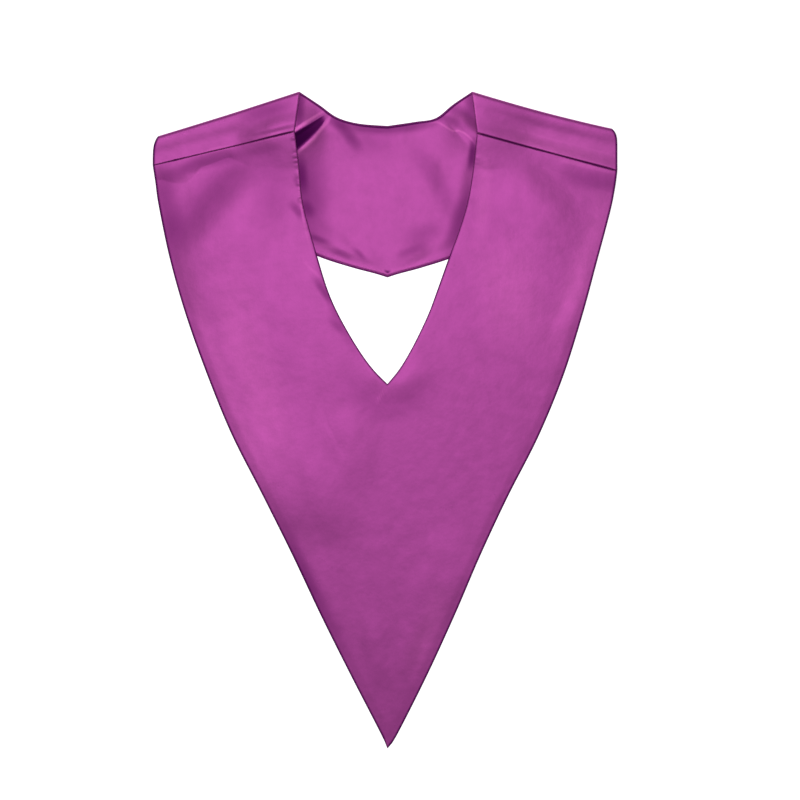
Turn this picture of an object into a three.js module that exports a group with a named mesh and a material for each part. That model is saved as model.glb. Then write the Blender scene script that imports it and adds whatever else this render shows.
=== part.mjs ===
// A V-shaped satin graduation stole that lies flat and face up on a table.
// The back panel rests on the table, turns over at a soft shoulder fold on each side, and
// meets the front panel at a shoulder seam. The front panel lies over the back panel and
// runs down to a point. Units are millimetres, +X is the stole's right in the view from
// above, +Y points from the tip to the shoulders, and the table is at z = 0.
import * as THREE from "three";

// Overall sizes, measured in the plane of the table.
const LENGTH = 610; // from the tip up to the shoulder points
const WIDTH = 431.5; // between the widest points, at the outer ends of the seams
const FRONT_NECK_DROP = 271; // from the shoulder points down to the bottom of the V neck
const BACK_NECK_DROP = 31; // from the shoulder points down to the middle of the back neck
const BACK_DEPTH = 172; // from the shoulder points down to the point of the back's lower edge
const STRAP_FLARE = 5; // a seam's neck end lies this much further out than its shoulder point
const CORNER_INSET = 4.5; // a fold's outer end lies this much inside the widest point
const CORNER_BULGE = 1.3; // how fully the corner between them is rounded out

// The two shoulders differ a little, as the cloth lies.
const SIDES = {
  left: {
    sign: -1,
    reach: 0.505 * WIDTH, // from the middle to the widest point
    neckHalf: 81, // from the middle to the shoulder point
    shoulderDrop: 41.5, // how far the fold's outer end lies below the shoulder point
    bandAtNeck: 36.5, // from the fold down to the seam, at the neck
    bandAtEdge: 26.5, // from the fold down to the seam, at the outer edge
  },
  right: {
    sign: 1,
    reach: 0.495 * WIDTH,
    neckHalf: 78,
    shoulderDrop: 34.5,
    bandAtNeck: 38,
    bandAtEdge: 38.5,
  },
};

// Cloth and layers.
const PANEL_WALL = 1.2;
const LINING_WALL = 1.0;
const SEAM_WALL = 1.0;
const CLEARANCE = 0.3; // between any two layers
const SEAM_GAP = 0.4; // between the two edges that meet at a shoulder seam
const FOLD_HEIGHT = 8.6; // over the rolled shoulder fold
const SEAM_ALLOWANCE = 15; // width of the turned-in seam under the front panel
const SEAM_UNDERLAP = 2; // how far the seam reaches back under the shoulder band
const LINING_EDGE_SETBACK = 1.5; // the back panel shows this far past the lining
const LINING_NECK_SETBACK = 3.5; // the same along the neck edge, where the panel rolls over
const LINING_SEAM_SETBACK = SEAM_UNDERLAP + 2 * CLEARANCE;

// How the cloth drapes.
const NECK_LIFT = 4; // the neck edge stands up this much at the shoulder points
const NECK_LIFT_REACH = 75;
const EDGE_FALL = 28; // the front comes down to the table over this width past the back panel
const SEAM_FALL = 9; // the front settles over this width past the seam allowance
const EDGE_MARGIN = 2; // the front stays at full height this far past what it lies on
const BAND_DIP = 0.7; // the hollow along the middle of the shoulder band
const TUCK_RISE = 12; // cloth rises to the tuck's lip over this width
const TUCK_SETTLE = 26; // and comes down to the lining over this width on the other side
const TUCK_LEAST_WIDTH = 2;
const TUCK_ROOM = 3; // the strap rides up over the tuck's mouth this many times as widely

// The tuck where the lining is too full at each neck corner. It opens under the strap and
// runs out at the back neck edge. The left one stands open, the right one is pressed down.
// Mouth and crest are its width and height under the strap. The overhang of its lip is a
// share of its width.
const TUCKS = {
  left: { mouth: 14, crest: 4.5, overhang: 0.2 },
  right: { mouth: 9, crest: 1.2, overhang: 0 },
};
const TUCK_RUNS_OUT_AT = 0.37; // share of the back neck edge, from the shoulder point
const TUCK_FULL_AT = 0.6; // share of the tuck's length, from there, at which it is full
const TUCK_HIDDEN = 0.7; // how far it runs on under the strap, as a share of its length
const TUCK_FLOOR = 0.4; // share of the mouth's width where the lip's inner side ends
const TUCK_FAR_SIDE = 0.7; // height of the mouth's far side, as a share of the crest
const LIP_WIDTH = 0.35; // half width of the lip and of the hollow under it, as a share
const HOLLOW_DEPTH = 0.6; // how far the hollow goes back under the lip, to the overhang

// Outlines. Each row's lengths are shares of the named sizes that they follow.
// The front's outer edge: down from the seam to the tip, and out as a share of the reach.
const FRONT_OUTER_EDGE = [
  { down: 0, left: 1, right: 1 },
  { down: 0.028, left: 0.99, right: 0.991 },
  { down: 0.07, left: 0.975, right: 0.97 },
  { down: 0.16, left: 0.928, right: 0.91 },
  { down: 0.255, left: 0.861, right: 0.845 },
  { down: 0.358, left: 0.77, right: 0.763 },
  { down: 0.461, left: 0.665, right: 0.656 },
  { down: 0.565, left: 0.533, right: 0.523 },
  { down: 0.668, left: 0.406, right: 0.402 },
  { down: 0.771, left: 0.285, right: 0.291 },
  { down: 0.874, left: 0.157, right: 0.172 },
  { down: 0.977, left: 0.025, right: 0.041 },
  { down: 1, left: 0, right: 0 },
];
// The front's neck edge: down from the seam to the V, out as a share of the seam's neck end.
const FRONT_NECK_EDGE = [
  { down: 0, left: 1, right: 1 },
  { down: 0.13, left: 0.957, right: 0.964 },
  { down: 0.27, left: 0.92, right: 0.9 },
  { down: 0.39, left: 0.84, right: 0.8 },
  { down: 0.5, left: 0.753, right: 0.684 },
  { down: 0.626, left: 0.646, right: 0.558 },
  { down: 0.725, left: 0.528, right: 0.454 },
  { down: 0.844, left: 0.344, right: 0.294 },
  { down: 0.935, left: 0.17, right: 0.145 },
  { down: 1, left: 0, right: 0 },
];
// The back's neck edge: across as a share of neckHalf, drops as shares of BACK_NECK_DROP.
const BACK_NECK_EDGE = [
  { across: 1, left: 0, right: 0 },
  { across: 0.78, left: 0.38, right: 0.37 },
  { across: 0.575, left: 0.75, right: 0.77 },
  { across: 0.33, left: 0.93, right: 0.88 },
  { across: 0, left: 1, right: 1 },
];
// The back's outer edge past the fold: across of the reach, drop of BACK_DEPTH.
const BACK_OUTER_EDGE = [
  { across: 0.925, drop: 0.378 },
  { across: 0.805, drop: 0.524 },
  { across: 0.633, drop: 0.676 },
  { across: 0.461, drop: 0.789 },
  { across: 0.292, drop: 0.888 },
  { across: 0.154, drop: 0.945 },
  { across: 0.05, drop: 0.98 },
  { across: 0, drop: 1 },
];

// Broad soft folds in the front panel. The place is a share of the reach, out from the
// middle on the named side, and of LENGTH, up from the tip. Long and wide are the fold's
// half sizes as shares of LENGTH, turn is its angle from +X, and height is in millimetres.
const FRONT_FOLDS = [
  { side: "left", out: 0.52, up: 0.83, long: 0.16, wide: 0.045, turn: 40, height: 1.6 },
  { side: "left", out: 0.78, up: 0.8, long: 0.1, wide: 0.04, turn: 65, height: 1.4 },
  { side: "left", out: 0.6, up: 0.62, long: 0.14, wide: 0.07, turn: -60, height: 1.8 },
  { side: "left", out: 0.2, up: 0.36, long: 0.2, wide: 0.07, turn: -62, height: 1.6 },
  { side: "right", out: 0.62, up: 0.86, long: 0.14, wide: 0.035, turn: -40, height: 1.5 },
  { side: "right", out: 0.74, up: 0.74, long: 0.12, wide: 0.04, turn: -50, height: 1.4 },
  { side: "right", out: 0.58, up: 0.6, long: 0.16, wide: 0.07, turn: 60, height: 1.8 },
  { side: "right", out: 0.22, up: 0.3, long: 0.18, wide: 0.06, turn: 62, height: 1.6 },
  { side: "right", out: 0.02, up: 0.07, long: 0.07, wide: 0.03, turn: 90, height: 2 },
];

// How finely the cloth is cut into rows and columns.
const FRONT_ROWS = 32; // on each side of the middle
const FRONT_COLUMNS = 14;
const FRONT_FAN = 1.7; // how rows fan out from the neck edge to the longer outer edge
const BACK_COLUMNS = 12;
const BACK_FAN = 1.5;
const LINING_COLUMNS = 14;
const TURN = 0.1; // share of a side's rows that go a quarter round the shoulder fold
const BAND_ROWS = 5; // over the shoulder band
const FOLD_ROWS = 6; // half round the shoulder fold
const BACK_ROWS = 12; // from the fold to the middle of the back
const TUCK_STARTS = 0.33; // shares of the way from the fold to the middle
const TUCK_ENDS = 0.5;
const TUCK_ROWS = { left: 20, right: 8 };
const ROWS_TO_TUCK = 4; // from the fold
const ROWS_PAST_TUCK = 7; // to the middle
const NECK_CROWDING = 1.35; // columns crowd towards the neck edge by this power
const SEAM_ROWS = 4;
const SEAM_COLUMNS = 12;
const EDGE_SAMPLES = 60; // points along the back's outer edge, for measuring distances

const SATIN = { color: 0xae4a9c, roughness: 0.42, metalness: 0 };
const SATIN_SHADE = { color: 0x9c3f8d, roughness: 0.5, metalness: 0 };

const lerp = THREE.MathUtils.lerp;
const smooth = (x) => THREE.MathUtils.smoothstep(x, 0, 1);
const mound = (r) => (r < 1 ? (1 - r * r) ** 2 : 0);

// Heights that follow from the layers.
const foldRadius = (FOLD_HEIGHT - PANEL_WALL) / 2;
const lowerStack = PANEL_WALL + CLEARANCE + LINING_WALL + CLEARANCE;
const seamStep = SEAM_WALL + CLEARANCE;
const liningOffset = (PANEL_WALL + LINING_WALL) / 2 + CLEARANCE;
const seamOffset = (PANEL_WALL + SEAM_WALL) / 2 + CLEARANCE;

// A point of the plan, out from the middle and up from the tip.
const plan = (out, up) => new THREE.Vector2(out, up);

// The lines and edges of one side, all in its own mirrored plan.
function outlineOf(name) {
  const size = SIDES[name];
  const shoulderPoint = plan(size.neckHalf, LENGTH);
  const foldEnd = plan(size.reach - CORNER_INSET, LENGTH - size.shoulderDrop);
  const seamNeck = plan(size.neckHalf + STRAP_FLARE, LENGTH - size.bandAtNeck);
  const seamEdge = plan(size.reach, LENGTH - size.shoulderDrop - size.bandAtEdge);
  const neckBottom = LENGTH - FRONT_NECK_DROP;
  const frontOuter = FRONT_OUTER_EDGE.map((row) =>
    plan(row[name] * seamEdge.x, seamEdge.y * (1 - row.down)),
  );
  const frontNeck = FRONT_NECK_EDGE.map((row) =>
    plan(row[name] * seamNeck.x, lerp(seamNeck.y, neckBottom, row.down)),
  );
  const backNeck = BACK_NECK_EDGE.map((row) =>
    plan(row.across * size.neckHalf, LENGTH - row[name] * BACK_NECK_DROP),
  );
  const backOuter = BACK_OUTER_EDGE.map((row) =>
    plan(row.across * size.reach, LENGTH - row.drop * BACK_DEPTH),
  );
  return {
    name,
    sign: size.sign,
    shoulderPoint,
    foldEnd,
    seamNeck,
    seamEdge,
    frontOuter: new THREE.SplineCurve(frontOuter),
    frontNeck: new THREE.SplineCurve(frontNeck),
    backNeck: new THREE.SplineCurve(backNeck),
    backOuter: new THREE.SplineCurve([foldEnd, ...backOuter]),
  };
}

const sides = { left: outlineOf("left"), right: outlineOf("right") };
for (const side of Object.values(sides))
  side.backOuterPoints = side.backOuter.getSpacedPoints(EDGE_SAMPLES);

// Distance from a point of the plan to the line through two others, positive on its right.
function acrossLine(point, from, to) {
  const along = to.clone().sub(from).normalize();
  return point.clone().sub(from).cross(along);
}

const belowFold = (side, point) => acrossLine(point, side.shoulderPoint, side.foldEnd);
const belowSeam = (side, point) => acrossLine(point, side.seamNeck, side.seamEdge);

// Distance outside the back panel's outer edge, negative inside it.
function outsideBack(side, point) {
  const points = side.backOuterPoints;
  let nearest = Infinity;
  let edgeHeight = side.foldEnd.y;
  for (let i = 0; i < points.length; i++) {
    nearest = Math.min(nearest, point.distanceTo(points[i]));
    const next = points[i + 1];
    if (next && point.x <= points[i].x && point.x > next.x)
      edgeHeight = lerp(points[i].y, next.y, (points[i].x - point.x) / (points[i].x - next.x));
  }
  if (point.x <= 0) edgeHeight = points[points.length - 1].y;
  return point.y > edgeHeight && point.x < side.foldEnd.x ? -nearest : nearest;
}

// The stand of the neck edge lifts every layer alike.
function neckLift(side, point) {
  return NECK_LIFT * mound(point.distanceTo(side.shoulderPoint) / NECK_LIFT_REACH);
}

// Room over the tuck, where the strap and the band ride up on it.
function tuckRoom(side, point) {
  const reach = TUCK_ROOM * TUCKS[side.name].mouth;
  return (TUCKS[side.name].crest + CLEARANCE) * mound(point.distanceTo(side.seamNeck) / reach);
}

function frontFolds(side, point) {
  let height = 0;
  for (const fold of FRONT_FOLDS) {
    const { sign, reach } = SIDES[fold.side];
    const centre = plan(sign * fold.out * reach, fold.up * LENGTH);
    const turn = THREE.MathUtils.degToRad(fold.turn);
    const away = plan(side.sign * point.x, point.y).sub(centre).rotateAround(plan(0, 0), -turn);
    const r = Math.hypot(away.x / (fold.long * LENGTH), away.y / (fold.wide * LENGTH));
    height += fold.height * mound(r);
  }
  return height;
}

// Middle of the front panel's wall over a point of the plan.
function frontHeight(side, point) {
  const overBack = 1 - smooth((outsideBack(side, point) - EDGE_MARGIN) / EDGE_FALL);
  const pastSeam = belowSeam(side, point) - SEAM_ALLOWANCE - EDGE_MARGIN;
  const overSeam = 1 - smooth(pastSeam / SEAM_FALL);
  return (
    PANEL_WALL / 2 +
    lowerStack * overBack +
    seamStep * overSeam +
    neckLift(side, point) +
    tuckRoom(side, point) +
    frontFolds(side, point)
  );
}

const inSpace = (side, point, z) => new THREE.Vector3(side.sign * point.x, point.y, z);

// The front panel's wall: row 0 is the seam, row 1 the middle; column 0 is the outer edge.
function frontPoint(side, row, column) {
  const outer = side.frontOuter.getPointAt(row ** FRONT_FAN);
  const inner = side.frontNeck.getPointAt(row);
  const point = outer.lerp(inner, column);
  if (row === 0) point.y -= SEAM_GAP / 2;
  return inSpace(side, point, frontHeight(side, point));
}

// The back panel's wall: row 0 is the seam, row 1 the fold, row 2 the middle of the back.
// The fold's round takes up the rows nearer to row 1 than TURN.
function backPoint(side, row, column) {
  return row < 1 ? bandPoint(side, 1 - row, column) : lowerPoint(side, row - 1, column);
}

// Half the height of the fold's round at a distance from the fold.
function roundAt(distance) {
  const from = THREE.MathUtils.clamp(distance, 0, foldRadius);
  return Math.sqrt(foldRadius ** 2 - (foldRadius - from) ** 2);
}

// How far a row has come round the fold, in the plan: the round first and then the rest.
function pastFold(share, rest) {
  if (share < TURN) return foldRadius * (1 - Math.cos((Math.PI * share) / TURN / 2));
  return lerp(foldRadius, rest, (share - TURN) / (1 - TURN));
}

// The shoulder band over the fold: share 0 is the fold, share 1 the seam.
function bandPoint(side, share, column) {
  const fold = side.foldEnd.clone().lerp(side.shoulderPoint, column);
  const seam = side.seamEdge.clone().lerp(side.seamNeck, column);
  const width = fold.distanceTo(seam);
  const down = pastFold(share, width - SEAM_GAP / 2);
  const point = fold.lerp(seam, down / width);
  const left = 1 - down / width;
  point.x += CORNER_BULGE * CORNER_INSET * (left - left ** 3) * (1 - column) ** 3;
  const settle = smooth((down - foldRadius) / (width - foldRadius));
  const dip = BAND_DIP * Math.sin(Math.PI * settle) ** 2;
  const top = FOLD_HEIGHT / 2 + roundAt(down);
  const bottom = frontHeight(side, seam) - neckLift(side, seam);
  return inSpace(side, point, lerp(top, bottom, settle) - dip + neckLift(side, point));
}

// The part of the back panel that lies on the table: share 0 is the fold.
function lowerPoint(side, share, column) {
  const { backOuter, backNeck } = side;
  const outerLength = backOuter.getLength();
  const neckLength = backNeck.getLength();
  const fan = Math.max(share - TURN, 0) / (1 - TURN);
  const onOuter = share < TURN ? pastFold(share) : lerp(foldRadius, outerLength, fan ** BACK_FAN);
  const onNeck = share < TURN ? pastFold(share) : lerp(foldRadius, neckLength, fan);
  const outer = backOuter.getPointAt(onOuter / outerLength);
  const inner = backNeck.getPointAt(onNeck / neckLength);
  const point = outer.lerp(inner, column);
  return inSpace(side, point, FOLD_HEIGHT / 2 - roundAt(belowFold(side, point)) + neckLift(side, point));
}

// Moves a point of the lining into the tuck's folds: up to the lip, down into the open
// mouth under it, and up again to the lining's own crest.
function tucked(side, point) {
  const tuck = TUCKS[side.name];
  const end = side.backNeck.getPointAt(TUCK_RUNS_OUT_AT);
  const line = side.seamNeck.clone().sub(end);
  const at = plan(side.sign * point.x, point.y);
  const along = at.clone().sub(end).dot(line) / line.lengthSq();
  const below = acrossLine(at, end, side.seamNeck);
  const width = Math.max(tuck.mouth * along, TUCK_LEAST_WIDTH);
  const share = below / width;
  const strength = smooth(along / TUCK_FULL_AT) * (1 - smooth((along - 1) / TUCK_HIDDEN));
  let height = 0;
  if (share < 0) height = smooth(1 + below / TUCK_RISE);
  else if (share < TUCK_FLOOR) height = 1 - smooth(share / TUCK_FLOOR);
  else if (share < 1) height = TUCK_FAR_SIDE * smooth((share - TUCK_FLOOR) / (1 - TUCK_FLOOR));
  else height = TUCK_FAR_SIDE * (1 - smooth((below - width) / TUCK_SETTLE));
  const lip = mound(Math.abs(share) / LIP_WIDTH);
  const hollow = mound(Math.abs(share - TUCK_FLOOR) / LIP_WIDTH);
  const shift = lip - HOLLOW_DEPTH * hollow;
  const across = plan(line.y, -line.x).normalize();
  const slide = shift * tuck.overhang * width * strength;
  point.x += side.sign * across.x * slide;
  point.y += across.y * slide;
  point.z += tuck.crest * strength * height;
  return point;
}

// Unit normals of a grid of points, from its neighbours along rows and columns.
function normalsOf(grid) {
  const last = (list) => list.length - 1;
  return grid.map((row, i) =>
    row.map((_, j) => {
      const alongRows = grid[Math.min(i + 1, last(grid))][j].clone().sub(grid[Math.max(i - 1, 0)][j]);
      const alongColumns = row[Math.min(j + 1, last(row))].clone().sub(row[Math.max(j - 1, 0)]);
      return alongColumns.cross(alongRows).normalize();
    }),
  );
}

// Moves each point of a grid along its normal.
function offsetGrid(grid, distance) {
  const normals = normalsOf(grid);
  return grid.map((row, i) => row.map((point, j) => point.clone().addScaledVector(normals[i][j], distance)));
}

// Gives a grid of points a wall, as one closed geometry.
function clothGeometry(grid, wall) {
  const rows = grid.length;
  const columns = grid[0].length;
  const faces = [offsetGrid(grid, wall / 2), offsetGrid(grid, -wall / 2)];
  const positions = faces.flat(2).flatMap((point) => point.toArray());
  const at = (face, i, j) => (face * rows + i) * columns + j;
  const index = [];
  const quad = (a, b, c, d) => index.push(a, b, c, a, c, d);
  for (let i = 0; i < rows - 1; i++)
    for (let j = 0; j < columns - 1; j++) {
      quad(at(0, i, j), at(0, i, j + 1), at(0, i + 1, j + 1), at(0, i + 1, j));
      quad(at(1, i, j), at(1, i + 1, j), at(1, i + 1, j + 1), at(1, i, j + 1));
    }
  for (let i = 0; i < rows - 1; i++) {
    quad(at(0, i + 1, 0), at(1, i + 1, 0), at(1, i, 0), at(0, i, 0));
    quad(at(0, i, columns - 1), at(1, i, columns - 1), at(1, i + 1, columns - 1), at(0, i + 1, columns - 1));
  }
  for (let j = 0; j < columns - 1; j++) {
    quad(at(0, 0, j), at(1, 0, j), at(1, 0, j + 1), at(0, 0, j + 1));
    quad(at(0, rows - 1, j + 1), at(1, rows - 1, j + 1), at(1, rows - 1, j), at(0, rows - 1, j));
  }
  const geometry = new THREE.BufferGeometry();
  geometry.setAttribute("position", new THREE.Float32BufferAttribute(positions, 3));
  geometry.setIndex(index);
  geometry.computeVertexNormals();
  return geometry;
}

function clothMesh(name, grid, wall, finish) {
  const mesh = new THREE.Mesh(clothGeometry(grid, wall), new THREE.MeshStandardMaterial(finish));
  mesh.name = name;
  return mesh;
}

const spread = (count) => Array.from({ length: count + 1 }, (_, i) => i / count);
const crowded = (count) => spread(count).map((x) => 1 - (1 - x) ** NECK_CROWDING);

// Runs rows from the left seam to the middle and on to the right seam.
function gridAcross(rowsOf, pointAt) {
  const left = rowsOf("left").map((row) => pointAt(sides.left, row));
  const right = rowsOf("right").map((row) => pointAt(sides.right, row));
  return [...left, ...right.reverse().slice(1)];
}

function frontPanel() {
  const grid = gridAcross(
    () => spread(FRONT_ROWS),
    (side, row) => spread(FRONT_COLUMNS).map((column) => frontPoint(side, row, column)),
  );
  return clothMesh("front_panel", grid, PANEL_WALL, SATIN);
}

// Rows from one place to the next, without the first.
const rowsTo = (from, to, count) => spread(count).slice(1).map((x) => lerp(from, to, x));

// Rows of the back: over the band, round the fold and down to the middle.
const bandAndFold = [0, ...rowsTo(0, 1 - TURN, BAND_ROWS), ...rowsTo(1 - TURN, 1 + TURN, FOLD_ROWS)];
const backRows = () => [...bandAndFold, ...rowsTo(1 + TURN, 2, BACK_ROWS)];

function backPanel() {
  const grid = gridAcross(backRows, (side, row) =>
    crowded(BACK_COLUMNS).map((column) => backPoint(side, row, column)),
  );
  return clothMesh("back_panel", grid, PANEL_WALL, SATIN);
}

// Rows of the lining are the back's, closer together where the tuck is.
const liningRows = (name) => [
  ...bandAndFold,
  ...rowsTo(1 + TURN, 1 + TUCK_STARTS, ROWS_TO_TUCK),
  ...rowsTo(1 + TUCK_STARTS, 1 + TUCK_ENDS, TUCK_ROWS[name]),
  ...rowsTo(1 + TUCK_ENDS, 2, ROWS_PAST_TUCK),
];

// The lining lies inside the back panel, set back from its edges and from the seams.
function backLining() {
  const panel = gridAcross(liningRows, (side, row) => {
    const flatBand = SIDES[side.name].bandAtEdge - foldRadius;
    const from = Math.max(row, ((1 - TURN) * LINING_SEAM_SETBACK) / flatBand);
    const width = backPoint(side, from, 0).distanceTo(backPoint(side, from, 1));
    const first = LINING_EDGE_SETBACK / width;
    const last = 1 - LINING_NECK_SETBACK / width;
    return crowded(LINING_COLUMNS).map((x) => backPoint(side, from, lerp(first, last, x)));
  });
  const inside = offsetGrid(panel, -liningOffset);
  const leftRows = liningRows("left");
  const rightRows = liningRows("right").reverse().slice(1);
  const grid = inside.map((points, i) => {
    const onLeft = i < leftRows.length;
    const row = onLeft ? leftRows[i] : rightRows[i - leftRows.length];
    const side = onLeft ? sides.left : sides.right;
    return points.map((point) => (row > 1 ? tucked(side, point) : point));
  });
  return clothMesh("back_lining", grid, LINING_WALL, SATIN_SHADE);
}

// The turned-in seam lies just under the front panel's top end and the band's.
function shoulderSeam(side) {
  const down = side.seamNeck.clone().sub(side.seamEdge).normalize().rotateAround(plan(0, 0), -Math.PI / 2);
  if (down.y > 0) down.negate();
  const length = side.seamEdge.distanceTo(side.seamNeck);
  const inset = LINING_NECK_SETBACK / length;
  const panel = spread(SEAM_ROWS).map((x) =>
    spread(SEAM_COLUMNS).map((y) => {
      const onSeam = side.seamEdge.clone().lerp(side.seamNeck, lerp(inset, 1 - inset, y));
      const from = lerp(-SEAM_UNDERLAP, SEAM_ALLOWANCE, x);
      const point = onSeam.clone().addScaledVector(down, from);
      return inSpace(side, point, frontHeight(side, from < 0 ? onSeam : point));
    }),
  );
  if (side.sign > 0) panel.reverse();
  return clothMesh("shoulder_seam_" + side.name, offsetGrid(panel, seamOffset), SEAM_WALL, SATIN_SHADE);
}

const stole = new THREE.Group();
stole.add(frontPanel(), backPanel(), backLining(), shoulderSeam(sides.left), shoulderSeam(sides.right));

// The origin is on the table, under the middle of the stole's outline.
const box = new THREE.Box3().setFromObject(stole);
const centre = box.getCenter(new THREE.Vector3());
stole.position.set(-centre.x, -centre.y, 0);

export default stole;
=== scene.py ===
"""A V-shaped satin graduation stole, laid flat and face up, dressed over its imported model.

The stole's outline and layers are worked out here in millimetres from the same few sizes
as the model's, in a plan that runs out from the middle and up from the tip, on a much finer
grid, with the folds, puckers and rolled edges of the real satin.
"""

import bpy
import numpy as np
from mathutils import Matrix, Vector


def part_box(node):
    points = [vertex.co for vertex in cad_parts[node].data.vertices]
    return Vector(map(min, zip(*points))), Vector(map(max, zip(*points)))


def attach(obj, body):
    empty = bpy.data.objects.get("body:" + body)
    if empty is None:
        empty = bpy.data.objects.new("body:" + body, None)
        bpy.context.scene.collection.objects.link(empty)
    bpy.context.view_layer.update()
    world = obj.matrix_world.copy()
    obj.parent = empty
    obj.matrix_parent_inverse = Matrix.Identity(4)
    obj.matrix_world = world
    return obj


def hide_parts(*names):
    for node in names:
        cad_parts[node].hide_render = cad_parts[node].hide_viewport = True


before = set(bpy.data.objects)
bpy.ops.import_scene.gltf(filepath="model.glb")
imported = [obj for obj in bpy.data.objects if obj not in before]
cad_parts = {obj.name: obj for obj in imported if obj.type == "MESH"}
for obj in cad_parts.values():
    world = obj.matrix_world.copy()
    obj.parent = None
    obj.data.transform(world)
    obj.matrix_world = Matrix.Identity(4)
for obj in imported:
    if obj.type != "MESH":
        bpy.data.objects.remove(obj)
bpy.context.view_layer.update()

MM = 0.001

# Overall sizes, in the plane of the table.
LENGTH = 610  # from the tip up to the shoulder points
WIDTH = 431.5  # between the outer ends of the seams
FRONT_NECK_DROP = 271  # from the shoulder points down to the bottom of the V neck
BACK_NECK_DROP = 31  # and to the middle of the back neck
BACK_DEPTH = 172  # and to the point of the back's hem
STRAP_FLARE = 5  # a seam's neck end lies this much further out than its shoulder point
CORNER_INSET = 4.5  # a fold's outer end lies this much inside the seam's
CORNER_FADE = 3  # how soon the corner's round dies away along the fold

# How far out each side reaches, half of its neck, how far its fold drops from the shoulder
# point to the outer end, how wide its shoulder band is at both ends, and how squarely its
# outer edge turns into the fold.
SIDES = {
    "left": dict(
        sign=-1, reach=0.505 * WIDTH, neck_half=81, shoulder_drop=41.5,
        band_at_neck=36.5, band_at_edge=26.5, squareness=4,
    ),
    "right": dict(
        sign=1, reach=0.495 * WIDTH, neck_half=78, shoulder_drop=34.5,
        band_at_neck=38, band_at_edge=38.5, squareness=9,
    ),
}

# How each shoulder band comes down from its fold: the shares of its width between which it
# falls, how much it rises again to the seam, how much the fold sags between its ends, how much
# higher than its layers the seam stands at its outer end, and how high the strap below it
# puckers. Then, along the seam from the outer edge to the neck, how wide it gapes and how far
# below it the front still stands up over the seam allowance.
BANDS = {
    "left": dict(
        falls=(0.1, 0.95), lip=0.2, sag=0.4, rise=1.3, pucker=0.8,
        slit=[(0, 0.2), (0.1, 0.3), (0.16, 0.7), (0.23, 0.3), (0.38, 0.1), (0.55, 0.1), (0.76, 0.8),
              (0.93, 0.9), (1, 0.2)],
        step=[(0, 14), (0.04, 15), (0.12, 21), (0.21, 23), (0.27, 17), (0.32, 12), (0.41, 11),
              (0.52, 9), (0.64, 22), (1, 36)],
    ),
    "right": dict(
        falls=(0.03, 0.62), lip=0.9, sag=1.4, rise=0.8, pucker=0.15,
        slit=[(0, 0.2), (0.04, 1), (0.15, 1.2), (0.3, 0.8), (0.42, 0.5), (0.55, 0.8), (0.8, 1.1),
              (0.95, 1), (1, 0.3)],
        step=[(0, 22), (0.19, 20), (0.33, 17), (0.5, 15), (0.7, 24), (1, 34)],
    ),
}

# Cloth and layers.
PANEL_WALL = 1.2
LINING_WALL = 1.0
SEAM_WALL = 1.0
CLEARANCE = 0.3  # between any two layers
FOLD_HEIGHT = 8.6  # over the rolled shoulder fold
SEAM_ALLOWANCE = 15  # width of the turned-in seam under the front panel
SEAM_UNDERLAP = 2  # how far the seam reaches back under the shoulder band
SEAM_SETBACK = 0.3  # its outer end stays this far inside the panels' edges
LINING_EDGE_SETBACK = 1.5  # the back panel shows this far past the lining
LINING_NECK_SETBACK = 3.5  # the same along the neck edge of the shoulder bands
LINING_NECK_SHOWS = 1.4  # and along the back neck
LINING_NECK_EASES = 0.08  # rows past the fold over which the one turns into the other
LINING_SEAM_SETBACK = SEAM_UNDERLAP + 2 * CLEARANCE

# Edges: how far in the cloth is rolled round, and how far in and how dark its rim is painted,
# as shade where the edge turns down. Then how much of that painted shade shows on an edge that
# lies on other cloth, at the back neck, along the back's hem and along the lining's.
EDGE_ROUND = 1.3
RIM_WIDTH = {"outer": 2.6, "neck": 1.9}
RIM_TONE = 0.02
RIM_ON_CLOTH = 0.25
BACK_NECK_RIM = 0.6
HEM_RIM = 0.65
LINING_RIM = 0.12
NECK_GAP_TOP = 468  # the front's neck edge lies on the lining above this, and is free below
NECK_GAP_FADE = 15  # the width of the change between them

# The open seams: how dark their allowance is painted, as shade in the open slit, how far
# from the seam that painted shade stays dark, and how far from the seam the cloth gives way
# to its opening.
SLIT_TONE = 0.25
SLIT_SHADE = 1
SLIT_REACH = 8

# How the cloth drapes.
NECK_LIFT = 4  # the neck edge stands up this much at the shoulder points
NECK_LIFT_REACH = 75
EDGE_MARGIN = 2  # the front stays at full height this far past the back panel
EDGE_FALL = 220  # and comes down to the table over this width
SEAM_FALL_POWER = 1.15  # the front falls from the seam allowance by this power, 1 is straight
BAND_DIP = 0.3  # the hollow along the middle of the shoulder band
FOLD_SAG_REACH = 20  # how far from a fold its sag is felt
EDGE_BULGE = 0.45  # how far the cloth stands up inside its rolled-down edges
EDGE_BULGE_REACH = 10
NECK_BULGE = 0.3  # the same at the neck edge, as a share
NECK_BULGE_REACH = 5
SHOULDER_BULGE = 0.2  # the same at the seam, as a share
BULGE_GROWS = 250  # over this width below the seam

# Small puckers that the stitches draw in the straps, along the neck edge. Their pitch and
# height wander, each by a slower wave of its own.
PUCKER_REACH = 6
PUCKER_PITCH = 6.4
PUCKER_RUN = 110  # from the seam down the strap
PUCKER_FADE = 30  # over the last of that
PUCKER_PITCH_WANDERS = 2.2
PUCKER_PITCH_WAVE = 4.3  # in pitches
PUCKER_HEIGHT_WANDERS = 0.4
PUCKER_HEIGHT_WAVE = 3.3
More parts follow.
